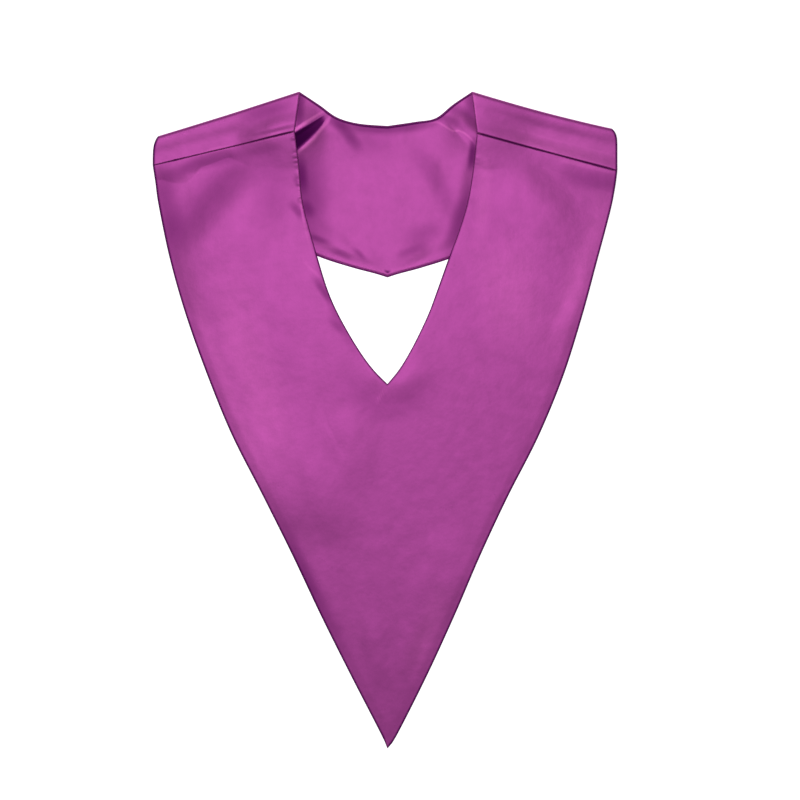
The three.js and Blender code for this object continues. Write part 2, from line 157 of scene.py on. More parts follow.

# The tuck at each neck corner of the lining: how wide its mouth is and how high its crest,
# how far its lip hangs over, how widely the cloth rises to it, how high its floor and its far
# side are as shares of the crest, how dark the painted shade inside it is, at which share of
# its length it is full, and how far below the seam it ends.
TUCKS = {
    "left": dict(
        mouth=14.8, crest=4.2, overhang=0.03, rise=24, floor=0, far=0.8, shade=0.95,
        full_at=0.85, drop=0,
    ),
    "right": dict(
        mouth=6, crest=2.4, overhang=0, rise=14, floor=0.95, far=0.9, shade=0,
        full_at=0.5, drop=7,
    ),
}
TUCK_ROOM = 60  # the strap rides up over the tuck's mouth this widely
TUCK_INSET = 4.2  # the tuck's narrow end lies this far below the back neck
TUCK_RIM = 2.5  # how wide the tuck is flat along its two rims
TUCK_SETTLE = 26  # it comes down to the lining over this width
TUCK_LEAST_WIDTH = 2
TUCK_RUNS_OUT_AT = 0.32  # share of the back neck edge, from the shoulder point
TUCK_HIDDEN = 0.7  # how far it runs on under the strap, as a share of its length
TUCK_FLOOR = 0.4  # share of the mouth's width where the lip's inner side ends
LIP_WIDTH = 0.35  # half width of the lip and of the hollow under it, as a share
HOLLOW_DEPTH = 0.8  # how far the hollow goes back under the lip, as a share of the overhang
# The pocket's darkness below is painted shade, standing for the deep hollow under the lip.
POCKET_STARTS = 0.1  # shares of the mouth's width over which its darkness starts and ends
POCKET_ENDS = (0.85, 1.1)
POCKET_DEEPENS = 0.25  # share of the tuck's length over which it gets dark
POCKET_END_SHADE = 0.72  # its darkness at the narrow end, as a share

# The front's outlines from a seam's two ends: how far down, as a share, and how far out the
# left and the right side are there, as shares of where the seam's end is.
FRONT_OUTER_EDGE = [
    (0, 1, 1),
    (0.028, 0.99, 0.991),
    (0.07, 0.975, 0.97),
    (0.16, 0.928, 0.91),
    (0.255, 0.861, 0.845),
    (0.358, 0.77, 0.763),
    (0.461, 0.665, 0.656),
    (0.565, 0.533, 0.523),
    (0.668, 0.406, 0.402),
    (0.771, 0.285, 0.291),
    (0.874, 0.157, 0.172),
    (0.977, 0.025, 0.041),
    (1, 0, 0),
]
FRONT_NECK_EDGE = [
    (0, 1, 1),
    (0.13, 0.957, 0.964),
    (0.27, 0.92, 0.9),
    (0.39, 0.84, 0.8),
    (0.5, 0.753, 0.684),
    (0.626, 0.646, 0.558),
    (0.725, 0.528, 0.454),
    (0.844, 0.344, 0.294),
    (0.935, 0.17, 0.145),
    (1, 0, 0),
]
# The back's, from a fold's two ends: how far out, and how far down the left and the right
# side of the neck are there, as shares of its width and drop. Both sides of the outer edge
# are the same, as shares of a side's reach and of the back's depth.
BACK_NECK_EDGE = [
    (1, 0, 0),
    (0.78, 0.38, 0.37),
    (0.575, 0.75, 0.77),
    (0.33, 0.93, 0.88),
    (0, 1, 1),
]
BACK_OUTER_EDGE = [
    (0.925, 0.378),
    (0.805, 0.524),
    (0.633, 0.676),
    (0.461, 0.789),
    (0.292, 0.888),
    (0.154, 0.945),
    (0.05, 0.98),
    (0, 1),
]

# Soft folds in the cloth. Each is a crest line through points of the plan, with how far it
# reaches to the right and to the left as one walks along it, and how high it stands.
FRONT_RIDGES = [
    dict(path=[(-77, 543), (-117, 524), (-145, 499), (-163, 468), (-174, 426)],
         right=34, left=60, height=2.2),
    dict(path=[(-187, 496), (-181, 464), (-171, 426), (-160, 389)],
         right=26, left=70, height=1.6),
    dict(path=[(-145, 560), (-120, 565), (-91, 572)], right=14, left=7.5, height=1.0),
    dict(path=[(-172, 305), (-131, 258), (-81, 234), (-35, 240), (-10, 255)],
         right=50, left=100, height=2.5),
    dict(path=[(95, 557), (123, 527), (151, 499), (181, 464)],
         right=36, left=28, height=1.7),
    dict(path=[(80, 552), (90, 545), (99, 536)], right=6.5, left=8.5, height=0.3),
    dict(path=[(198, 459), (181, 417), (157, 371)], right=16.5, left=20.5, height=0.6),
    dict(path=[(-26, 369), (-3, 345), (8, 339), (23, 346), (38, 369)],
         right=20, left=14, height=0.75),
    dict(path=[(-54, 324), (-35, 287), (-24, 231)], right=31.5, left=28, height=1.2),
    dict(path=[(10, 160), (40, 150), (75, 165), (100, 190)], right=45, left=60, height=1.2),
    dict(path=[(-81, 287), (-54, 231), (-33, 175)], right=24, left=20.5, height=0.9),
    dict(path=[(-20, 138), (-11, 92), (-3, 45)], right=15, left=15, height=0.8),
    dict(path=[(30, 138), (19, 101), (8, 54)], right=15, left=15, height=0.7),
]
LINING_RIDGES = [
    dict(path=[(84, 580), (69, 543), (65, 506), (55, 473), (46, 452)],
         right=20, left=14, height=1.2),
    dict(path=[(23, 566), (40, 529), (45, 487)], right=26, left=18, height=0.9),
    dict(path=[(-66, 596), (-54, 587), (-35, 582), (0, 579), (35, 584), (49, 590), (58, 598)],
         right=8, left=4, height=0.7),
    dict(path=[(-61, 590), (-49, 581), (-37, 568), (-27, 555)],
         right=12, left=14, height=0.6),
    dict(path=[(16, 584), (14, 572), (8, 557)], right=10, left=9, height=0.3),
    dict(path=[(-80, 492), (-61, 477), (-44, 467)], right=11, left=15, height=0.9),
    dict(path=[(-58, 475), (-40, 464), (-24, 458)], right=9, left=13, height=0.8),
    dict(path=[(-35, 466), (-20, 458), (-5, 454)], right=9, left=12, height=0.6),
    dict(path=[(4, 456), (25, 462), (45, 473)], right=11, left=13, height=0.8),
    dict(path=[(38, 466), (54, 475), (69, 486)], right=11, left=11, height=0.5),
]
BAND_RIDGES = [
    dict(path=[(-142, 570), (-117, 575), (-100, 579), (-67, 587)],
         right=6, left=11, height=1),
]

# Painted shade and painted highlight: soft strokes that darken the satin's colour where shade
# falls, in a fold or close to a strap. They run and fade as the folds do, but here the height is
# the share by which the colour is darkened. A negative one lightens it, as a painted highlight
# on an edge or a crest.
FRONT_SHADES = [
    dict(path=[(-84, 568), (-83, 543), (-81, 510), (-74, 473), (-65, 445)],
         right=1.5, left=1.5, height=-0.14),
    dict(path=[(-89, 572), (-109, 567), (-137, 560)], right=2, left=2, height=-0.1),
    dict(path=[(146, 550), (179, 543), (216, 534)], right=3, left=3, height=-0.15),
    dict(path=[(80, 568), (80, 543), (75, 501)], right=1.5, left=1.5, height=-0.14),
    dict(path=[(-226, 536), (-200, 533), (-181, 542), (-151, 550), (-119, 558)],
         right=9, left=9, height=0.16),
    dict(path=[(-91, 571), (-137, 538), (-174, 501), (-212, 454), (-221, 417)],
         right=26, left=26, height=0.13),
    dict(path=[(-206, 557), (-208, 529), (-204, 496), (-193, 452)],
         right=16, left=18, height=0.16),
    dict(path=[(-141, 547), (-117, 555), (-89, 560)], right=8, left=8, height=0.05),
    dict(path=[(-100, 584), (-104, 543), (-106, 510), (-109, 468)],
         right=26, left=26, height=0.07),
    dict(path=[(-174, 473), (-151, 426), (-139, 375), (-122, 324), (-109, 268), (-100, 212)],
         right=26, left=40, height=-0.15),
    dict(path=[(-199, 487), (-182, 431), (-159, 361), (-128, 281), (-95, 213)],
         right=10, left=10, height=-0.1),
    dict(path=[(100, 492), (112, 440), (119, 394), (119, 352)],
         right=44, left=44, height=-0.15),
    dict(path=[(90, 575), (90, 519), (84, 454)], right=10, left=10, height=-0.1),
    dict(path=[(146, 536), (198, 527), (253, 518)], right=14, left=14, height=0.15),
    dict(path=[(209, 543), (198, 487), (181, 445), (162, 394), (146, 347)],
         right=20, left=22, height=-0.14),
    dict(path=[(0, 338), (-5, 330), (-12, 319)], right=1.5, left=1.5, height=-0.16),
    dict(path=[(-70, 441), (-61, 427), (-50, 412)], right=5, left=5, height=0.17),
    dict(path=[(-57, 402), (-49, 394), (-40, 385)], right=5, left=5, height=0.1),
    dict(path=[(-81, 456), (-71, 446), (-59, 435)], right=1.6, left=1.6, height=-0.14),
    dict(path=[(-92, 510), (-85, 502), (-76, 490)], right=6, left=6, height=0.17),
    dict(path=[(-89, 533), (-84, 527), (-79, 518)], right=4, left=4, height=0.13),
    dict(path=[(-107, 231), (-81, 166), (-55, 112)], right=12, left=14, height=0.16),
    dict(path=[(-66, 478), (-58, 440), (-41, 394), (-16, 352)], right=9, left=5, height=0.12),
    dict(path=[(-61, 359), (-26, 332), (0, 320), (27, 332), (60, 363)],
         right=26, left=20, height=0.07),
    dict(path=[(-100, 203), (-79, 157), (-54, 110), (-35, 64)],
         right=14, left=18, height=0.14),
    dict(path=[(58, 166), (44, 129), (26, 87), (12, 54)], right=16, left=20, height=-0.12),
]
BAND_SHADES = [
    dict(path=[(-81, 631), (-82, 603), (-85, 557)], right=2, left=2, height=-0.2),
    dict(path=[(79, 631), (80, 603), (83, 557)], right=2.5, left=2.5, height=-0.22),
    dict(path=[(-89, 574), (-105, 571), (-128, 565)], right=2, left=2, height=-0.12),
    dict(path=[(-174, 554), (-160, 558), (-142, 561)], right=1.5, left=1.5, height=-0.12),
    dict(path=[(-142, 583), (-117, 591), (-81, 599)], right=12, left=10, height=0.13),
    dict(path=[(86, 572), (132, 561), (179, 550), (235, 537)], right=6, left=10, height=-0.16),
    dict(path=[(77, 581), (142, 568), (207, 553), (244, 544)],
         right=12, left=12, height=-0.1),
]
LINING_SHADES = [
    dict(path=[(-82, 640), (-82, 592), (-84, 557)], right=5, left=8, height=0.28),
    dict(path=[(-84, 566), (-80, 536), (-78, 510), (-72, 482)],
         right=10, left=34, height=0.22),
    dict(path=[(-83, 558), (-80, 536), (-78, 510)], right=6, left=8, height=0.24),
    dict(path=[(-81, 519), (-76, 490), (-66, 454)], right=8, left=28, height=0.14),
    dict(path=[(-100, 566), (-86, 575), (-74, 583), (-63, 590), (-52, 597)],
         right=2, left=2, height=-0.62),
    dict(path=[(-50, 596), (-55, 584), (-62, 575), (-71, 564), (-81, 556), (-94, 545)],
         right=2.5, left=2.5, height=-0.5),
    dict(path=[(-80, 512), (-73, 500), (-65, 495)], right=7, left=8, height=0.14),
    dict(path=[(-72, 594), (-40, 582), (0, 578), (40, 584), (67, 599)],
         right=10, left=5, height=0.19),
    dict(path=[(-61, 594), (-48, 583), (-35, 569), (-22, 551)], right=8, left=8, height=0.2),
    dict(path=[(-54, 555), (-16, 564), (21, 560)], right=18, left=18, height=0.06),
    dict(path=[(80, 640), (80, 592), (82, 566)], right=11, left=10, height=0.2),
    dict(path=[(40, 592), (54, 586), (80, 575)], right=7, left=5, height=0.1),
    dict(path=[(34, 578), (40, 581), (47, 582), (54, 578), (61, 574), (67, 574), (74, 570),
               (80, 564), (86, 555)],
         right=1.5, left=1.5, height=-0.3),
    dict(path=[(80, 572), (78, 553), (75, 532)], right=3.5, left=9, height=0.42),
    dict(path=[(84, 540), (71, 501), (54, 449)], right=12, left=10, height=0.24),
    dict(path=[(16, 570), (41, 536), (56, 506), (60, 473)], right=14, left=14, height=0.08),
    dict(path=[(8, 469), (32, 477), (58, 490)], right=14, left=14, height=0.08),
    dict(path=[(-78, 479), (-65, 474), (-50, 469)], right=4, left=4, height=0.16),
    dict(path=[(-57, 462), (-44, 461), (-31, 454)], right=4.5, left=4.5, height=0.14),
    dict(path=[(-35, 467), (-26, 460), (-18, 451)], right=4, left=4, height=0.14),
    dict(path=[(4, 456), (23, 463), (41, 469)], right=6, left=6, height=0.12),
    dict(path=[(49, 599), (69, 592), (82, 586)], right=7, left=7, height=0.1),
    dict(path=[(-3, 438), (0, 443), (3, 449)], right=1, left=1, height=0.5),
    dict(path=[(-70, 462), (-66, 457), (-63, 453)], right=2.5, left=2.5, height=0.5),
    dict(path=[(-70, 464), (-40, 452), (0, 443), (30, 451), (60, 462)],
         right=4, left=4, height=-0.08),
]
RIDGE_FADE = 0.42  # share of a crest line over which each of its ends fades

# The grids: the share of a side's rows that go a quarter round its fold, how rows fan out
# from the neck edge to the longer outer edge, the steps between two points of a curve, and
# the points of the outlines that distances are measured to. Then each piece's rows, as the
# stops between which they are evenly spaced and the count in each stretch, and its columns.
TURN = 0.1
FRONT_FAN = 1.7
BACK_FAN = 1.5
CURVE_STEPS = 60
RIDGE_STEPS = 10
OUTER_SAMPLES = 500
PAST_TIP_SAMPLES = 60
NECK_SAMPLES = 250
BACK_SAMPLES = 121
FRONT_STOPS, FRONT_ROWS, FRONT_COLUMNS = (0, 0.1, 0.3, 1), (34, 54, 96), 104
BACK_STOPS, BACK_ROWS, BACK_COLUMNS = (0, 0.06, 1 - TURN, 1 + TURN, 2), (5, 42, 22, 90), 90
LINING_STOPS, LINING_ROWS = (1 - TURN, 1 + TURN, 1.3, 1.52, 2), (16, 12, 24, 84, 50)
LINING_COLUMNS = 110
SEAM_ROWS, SEAM_COLUMNS = 20, 90


def lerp(a, b, t):
    return a + (b - a) * t


def smooth(x):
    x = np.clip(x, 0, 1)
    return x * x * (3 - 2 * x)


def glide(x, ease=0.4):
    """Like smooth, but nearer to a straight line."""
    return lerp(np.clip(x, 0, 1), smooth(x), ease)


def mound(r):
    """A round hill, 1 in the middle and 0 from a distance of 1 on."""
    return np.where(np.abs(r) < 1, (1 - np.minimum(r * r, 1)) ** 2, 0)


class Curve:
    """A smooth curve through points of the plan, read by its share of length."""

    def __init__(self, points, steps=CURVE_STEPS):
        points = np.asarray(points, float)
        ends = np.vstack([points[:1], points, points[-1:]])
        t = np.linspace(0, 1, steps, endpoint=False)[:, None]
        pieces = []
        for a, b, c, d in zip(ends, ends[1:], ends[2:], ends[3:]):
            leave, arrive = (c - a) / 2, (d - b) / 2
            cubic = (2 * b - 2 * c + leave + arrive) * t**3
            pieces.append(cubic + (3 * c - 3 * b - 2 * leave - arrive) * t**2 + leave * t + b)
        self.points = np.vstack([*pieces, points[-1:]])
        steps_taken = np.linalg.norm(np.diff(self.points, axis=0), axis=1)
        self.run = np.concatenate([[0], np.cumsum(steps_taken)])
        self.length = self.run[-1]

    def at(self, share):
        where = np.clip(share, 0, 1) * self.length
        found = [np.interp(where, self.run, self.points[:, k]) for k in (0, 1)]
        return np.stack(found, axis=-1)


def ridges_height(table, x, y):
    """Height of all the folds, or strength of all the strokes, of a table over the plan."""
    height = np.zeros_like(x)
    for ridge in table:
        crest = Curve(ridge["path"], steps=RIDGE_STEPS)
        reach = max(ridge["right"], ridge["left"])
        low, high = crest.points.min(axis=0) - reach, crest.points.max(axis=0) + reach
        near = (x > low[0]) & (x < high[0]) & (y > low[1]) & (y < high[1])
        spots = np.stack([x[near], y[near]], axis=-1)
        least = np.full(len(spots), np.inf)
        on_left = np.zeros(len(spots), bool)
        share = np.zeros(len(spots))
        for start, end, run in zip(crest.points, crest.points[1:], crest.run):
            step = end - start
            length = max(np.hypot(*step), 1e-9)
            t = np.clip((spots - start) @ step / length**2, 0, 1)
            off = spots - start - t[:, None] * step
            away = np.hypot(off[:, 0], off[:, 1])
            nearer = away < least
            least[nearer] = away[nearer]
            on_left[nearer] = (step[0] * off[:, 1] > step[1] * off[:, 0])[nearer]
            share[nearer] = ((run + t * length) / crest.length)[nearer]
        wide = np.where(on_left, ridge["left"], ridge["right"])
        fade = smooth(share / RIDGE_FADE) * smooth((1 - share) / RIDGE_FADE)
        height[near] += ridge["height"] * mound(least / wide) * fade
    return height


def puckers(along, away):
    """Share of their height that the puckers have, from a length along an edge and a distance
    from it."""
    turn = along * 2 * np.pi / PUCKER_PITCH
    wave = 0.5 + 0.5 * np.sin(turn + PUCKER_PITCH_WANDERS * np.sin(turn / PUCKER_PITCH_WAVE))
    wave *= smooth(along / PUCKER_PITCH) * smooth((PUCKER_RUN - along) / PUCKER_FADE)
    height = lerp(1, np.sin(turn / PUCKER_HEIGHT_WAVE + 1), PUCKER_HEIGHT_WANDERS)
    return wave * height * mound(away / PUCKER_REACH)


def nearest(point, line):
    """Least distance from points of the plan to points along a line."""
    flat = point.reshape(-1, 2)
    least = np.full(len(flat), np.inf)
    for spot in line:
        least = np.minimum(least, np.hypot(flat[:, 0] - spot[0], flat[:, 1] - spot[1]))
    return least.reshape(point.shape[:-1])


class Side:
    """The lines, edges and heights of one half of the stole, in its own mirrored plan."""

    def __init__(self, name):
        size = SIDES[name]
        self.name, self.sign, self.squareness = name, size["sign"], size["squareness"]
        self.tuck, self.band = TUCKS[name], BANDS[name]
        reach, neck_half = size["reach"], size["neck_half"]
        fold_edge_y = LENGTH - size["shoulder_drop"]
        self.shoulder_point = np.array([neck_half, LENGTH])
        self.fold_end = np.array([reach - CORNER_INSET, fold_edge_y])
        self.seam_neck = np.array([neck_half + STRAP_FLARE, LENGTH - size["band_at_neck"]])
        self.seam_edge = np.array([reach, fold_edge_y - size["band_at_edge"]])
        self.flat_band = size["band_at_edge"] - fold_radius
        seam_x, seam_y = self.seam_edge
        neck_x, neck_y = self.seam_neck
        bottom = LENGTH - FRONT_NECK_DROP

        def outline(rows):
            """Pairs of a row's first value and its value for this side."""
            return [(row[0], row[1 if name == "left" else 2]) for row in rows]

        self.front_outer = Curve(
            [(out * seam_x, seam_y * (1 - down)) for down, out in outline(FRONT_OUTER_EDGE)]
        )
        self.front_neck = Curve(
            [(out * neck_x, lerp(neck_y, bottom, down)) for down, out in outline(FRONT_NECK_EDGE)]
        )
        self.back_neck = Curve(
            [(out * neck_half, LENGTH - down * BACK_NECK_DROP) for out, down in outline(BACK_NECK_EDGE)]
        )
        outer = [(out * reach, LENGTH - down * BACK_DEPTH) for out, down in BACK_OUTER_EDGE]
        self.back_outer = Curve([self.fold_end, *outer])

    @staticmethod
    def across(point, start, end):
        """Distance of points from a line through two others, positive on its right."""
        along = (end - start) / np.linalg.norm(end - start)
        away = point - start
        return away[..., 0] * along[1] - away[..., 1] * along[0]

    def below_fold(self, point):
        return self.across(point, self.shoulder_point, self.fold_end)

    def below_seam(self, point):
        return self.across(point, self.seam_neck, self.seam_edge)

    def along_seam(self, point):
        """Share of the seam's length from its outer end to the neck."""
        line = self.seam_neck - self.seam_edge
        return (point - self.seam_edge) @ line / (line @ line)

    def fold_sag(self, point, column):
        away = np.abs(self.below_fold(point))
        between_ends = 4 * column * (1 - column)
        return self.band["sag"] * between_ends * (1 - smooth(away / FOLD_SAG_REACH))

    def outside_back(self, point):
        """Distance outside the back panel's outer edge, negative inside it."""
        edge = self.back_outer.at(np.linspace(0, 1, BACK_SAMPLES))
        away = nearest(point, edge)
        height = np.interp(point[..., 0], edge[::-1, 0], edge[::-1, 1])
        inside = (point[..., 1] > height) & (point[..., 0] < self.fold_end[0])
        return np.where(inside, -away, away)

    def neck_lift(self, point):
        away = np.linalg.norm(point - self.shoulder_point, axis=-1)
        return NECK_LIFT * mound(away / NECK_LIFT_REACH)

    def tuck_room(self, point):
        away = np.linalg.norm(point - self.seam_neck, axis=-1)
        return (self.tuck["crest"] + CLEARANCE) * mound(away / TUCK_ROOM)

    def front_height(self, point):
        """Middle of the front panel's wall over points of the plan."""
        over_back = 1 - smooth((self.outside_back(point) - EDGE_MARGIN) / EDGE_FALL)
        step = np.interp(self.along_seam(point), *zip(*self.band["step"]))
        over_seam = 1 - np.clip(self.below_seam(point) / step, 0, 1) ** SEAM_FALL_POWER
        over_seam *= 1 + self.band["rise"] / seam_step * (1 - smooth(self.along_seam(point)))
        return (
            PANEL_WALL / 2
            + lower_stack * over_back
            + seam_step * over_seam
            + self.neck_lift(point)
            + self.tuck_room(point)
            + ridges_height(FRONT_RIDGES, self.sign * point[..., 0], point[..., 1])
        )

    def edge_bulge(self, point):
        """How far the front stands up between its rolled-down outer edge and neck edge."""
        outer = self.front_outer.at(np.linspace(0, 1, OUTER_SAMPLES))
        other_side_of_tip = outer[-PAST_TIP_SAMPLES:] * [-1, 1]
        outer = np.vstack([outer, other_side_of_tip])
        neck = self.front_neck.at(np.linspace(0, 1, NECK_SAMPLES))
        grows = lerp(SHOULDER_BULGE, 1, smooth(self.below_seam(point) / BULGE_GROWS))
        from_outer = smooth(nearest(point, outer) / EDGE_BULGE_REACH)
        from_neck = lerp(1, smooth(nearest(point, neck) / NECK_BULGE_REACH), NECK_BULGE)
        return EDGE_BULGE * grows * from_outer * from_neck

    def slit(self, column):
        """Half the opening of the seam at shares of its length from the outer edge."""
        return np.interp(column, *zip(*self.band["slit"])) / 2

    def in_space(self, point, z):
        return np.stack([self.sign * point[..., 0], point[..., 1], z], axis=-1)


fold_radius = (FOLD_HEIGHT - PANEL_WALL) / 2
lower_stack = PANEL_WALL + CLEARANCE + LINING_WALL + CLEARANCE
seam_step = SEAM_WALL + CLEARANCE
lining_offset = (PANEL_WALL + LINING_WALL) / 2 + CLEARANCE
seam_offset = (PANEL_WALL + SEAM_WALL) / 2 + CLEARANCE

LEFT, RIGHT = Side("left"), Side("right")


def front_point(side, row, column):
    """The front panel's middle surface: row 0 is the seam, row 1 the middle."""
    outer = side.front_outer.at(row**FRONT_FAN)
    inner = side.front_neck.at(row)
    point = lerp(outer, inner, column[..., None])
    away = np.maximum(side.below_seam(point), 0)
    z = side.front_height(point) + side.edge_bulge(point) * smooth(away / SLIT_REACH)
    width = np.linalg.norm(outer - inner, axis=-1)
    z += side.band["pucker"] * puckers(row * side.front_neck.length, (1 - column) * width)
    point[..., 1] -= side.slit(column) * np.maximum(1 - away / SLIT_REACH, 0)
    return side.in_space(point, z)


def round_at(distance):
    """Half the height of the fold's pressed round at a distance from the fold."""
    left = fold_radius - np.clip(distance, 0, fold_radius)
    return (fold_radius**3 - left**3) ** (1 / 3)


def past_fold(share, rest):
    """How far rows have come round the fold: the round first and then the rest."""
    quarter = fold_radius * (1 - np.cos(np.pi / 2 * np.minimum(share / TURN, 1)))
    beyond = lerp(fold_radius, rest, (share - TURN) / (1 - TURN))
    return np.where(share < TURN, quarter, beyond)


def band_point(side, share, column):
    """The shoulder band: share 0 is the fold, share 1 the seam."""
    fold = lerp(side.fold_end, side.shoulder_point, column[..., None])
    seam = lerp(side.seam_edge, side.seam_neck, column[..., None])
    width = np.linalg.norm(fold - seam, axis=-1)
    down = past_fold(share, width)
    left = 1 - down / width
    point = lerp(fold, seam, (down / width)[..., None])
    rounding = left - left**side.squareness
    point[..., 0] += CORNER_INSET * rounding * (1 - column) ** CORNER_FADE
    point[..., 1] -= side.fold_sag(point, column)
    first, last = side.band["falls"]
    come = (down - fold_radius) / (width - fold_radius)
    settle = glide((come - first) / (last - first))
    dip = BAND_DIP * np.sin(np.pi * settle) ** 2
    lip = side.band["lip"] * smooth((come - last) / (1 - last))
    top = FOLD_HEIGHT / 2 + round_at(down)
    bottom = side.front_height(seam) - side.neck_lift(seam)
    folds = ridges_height(BAND_RIDGES, side.sign * point[..., 0], point[..., 1])
    gives_way = np.maximum(1 - left * width / SLIT_REACH, 0) * (come > 0)
    point[..., 1] += side.slit(column) * gives_way
    z = lerp(top, bottom, settle) - dip + lip + folds + side.neck_lift(point)
    return side.in_space(point, z)


def lower_point(side, share, column):
    """The part of the back panel on the table: share 0 is the fold."""
    fan = np.maximum(share - TURN, 0) / (1 - TURN)
    turning = share < TURN
    outer_length, neck_length = side.back_outer.length, side.back_neck.length
    turned = past_fold(share, 0)
    on_outer = np.where(turning, turned, lerp(fold_radius, outer_length, fan**BACK_FAN))
    on_neck = np.where(turning, turned, lerp(fold_radius, neck_length, fan))
    outer = side.back_outer.at(on_outer / outer_length)
    inner = side.back_neck.at(on_neck / neck_length)
    point = lerp(outer, inner, column[..., None])
    z = FOLD_HEIGHT / 2 - round_at(side.below_fold(point)) + side.neck_lift(point)
    point[..., 1] -= side.fold_sag(point, column)
    return side.in_space(point, z)


def back_point(side, row, column):
    """The back panel's middle surface: row 0 is the seam, 1 the fold, 2 the middle."""
    row, column = np.broadcast_arrays(row, column)
    band = band_point(side, np.clip(1 - row, 0, 1), column)
    lower = lower_point(side, np.clip(row - 1, 0, 1), column)
    return np.where((row < 1)[..., None], band, lower)


def tucked(side, grid):
    """Moves points of the lining into the tuck: up to its lip, down into the open mouth
    under the lip, and up again to the lining's own crest. Returns them and their tone, which
    holds painted shade in the mouth and the lining's painted shade and highlight strokes."""
    tuck = side.tuck
    end = side.back_neck.at(TUCK_RUNS_OUT_AT) - [0, TUCK_INSET]
    start = side.seam_neck - [0, tuck["drop"]]
    line = start - end
    point = np.stack([side.sign * grid[..., 0], grid[..., 1]], axis=-1)
    along = ((point - end) @ line) / (line @ line)
    below = side.across(point, end, start)
    width = np.maximum(tuck["mouth"] * np.sqrt(np.maximum(along, 0)), TUCK_LEAST_WIDTH)
    share = below / width
    strength = smooth(along / tuck["full_at"]) * (1 - smooth((along - 1) / TUCK_HIDDEN))
    rising = smooth(1 + (below + TUCK_RIM) / tuck["rise"])
    falling = lerp(1, tuck["floor"], smooth(share / TUCK_FLOOR))
    far_side = lerp(tuck["floor"], tuck["far"], smooth((share - TUCK_FLOOR) / (1 - TUCK_FLOOR)))
    settling = tuck["far"] * np.clip(1 - (below - width - TUCK_RIM) / TUCK_SETTLE, 0, 1) ** 2
    parts = [share < 0, share < TUCK_FLOOR, share < 1]
    height = np.select(parts, [rising, falling, far_side], settling)
    shift = mound(share / LIP_WIDTH) - HOLLOW_DEPTH * mound((share - TUCK_FLOOR) / LIP_WIDTH)
    slide = shift * tuck["overhang"] * width * strength
    across = np.array([line[1], -line[0]]) / np.linalg.norm(line)
    moved = grid.copy()
    moved[..., 0] += side.sign * across[0] * slide
    moved[..., 1] += across[1] * slide
    folds = ridges_height(LINING_RIDGES, grid[..., 0], grid[..., 1])
    moved[..., 2] += tuck["crest"] * strength * height + folds
    # Painted shade inside the tuck's mouth.
    last, past = POCKET_ENDS
    in_pocket = smooth(share / POCKET_STARTS) * (1 - smooth((share - last) / (past - last)))
    deep = smooth(along / POCKET_DEEPENS) * lerp(POCKET_END_SHADE, 1, smooth(along))
    shade = tuck["shade"] * deep * in_pocket
    # Painted shade and painted highlight from the lining's strokes.
    shades = ridges_height(LINING_SHADES, grid[..., 0], grid[..., 1])
    return moved, (1 - shade) * (1 - shades)


def normals_of(grid):
    """Unit normals of a grid of points, from its neighbours along rows and columns."""
    along_rows = np.gradient(grid, axis=0)
    along_columns = np.gradient(grid, axis=1)
    normal = np.cross(along_columns, along_rows)
    return normal / np.linalg.norm(normal, axis=-1, keepdims=True)


def run_along(grid, axis):
    """Length run along rows or columns of a grid, from its start."""
    steps = np.linalg.norm(np.diff(grid, axis=axis), axis=-1)
    start = np.zeros_like(np.take(steps, [0], axis=axis))
    return np.concatenate([start, np.cumsum(steps, axis=axis)], axis=axis)


def edge_distances(grid):
    """Distances of grid points from the outer edge, the neck edge and the two seam ends."""
    across = run_along(grid, 1)
    down = run_along(grid, 0)
    return across, across[:, -1:] - across, down, down[-1:] - down


def slant(grid, few=3):
    """How far straight in from the outer edge the first few steps of each row lead, as a
    share of their length."""
    edge = np.gradient(grid[:, 0], axis=0)
    row = grid[:, few] - grid[:, 0]
    across = np.linalg.norm(np.cross(edge, row), axis=-1)
    return across / (np.linalg.norm(edge, axis=-1) * np.linalg.norm(row, axis=-1))


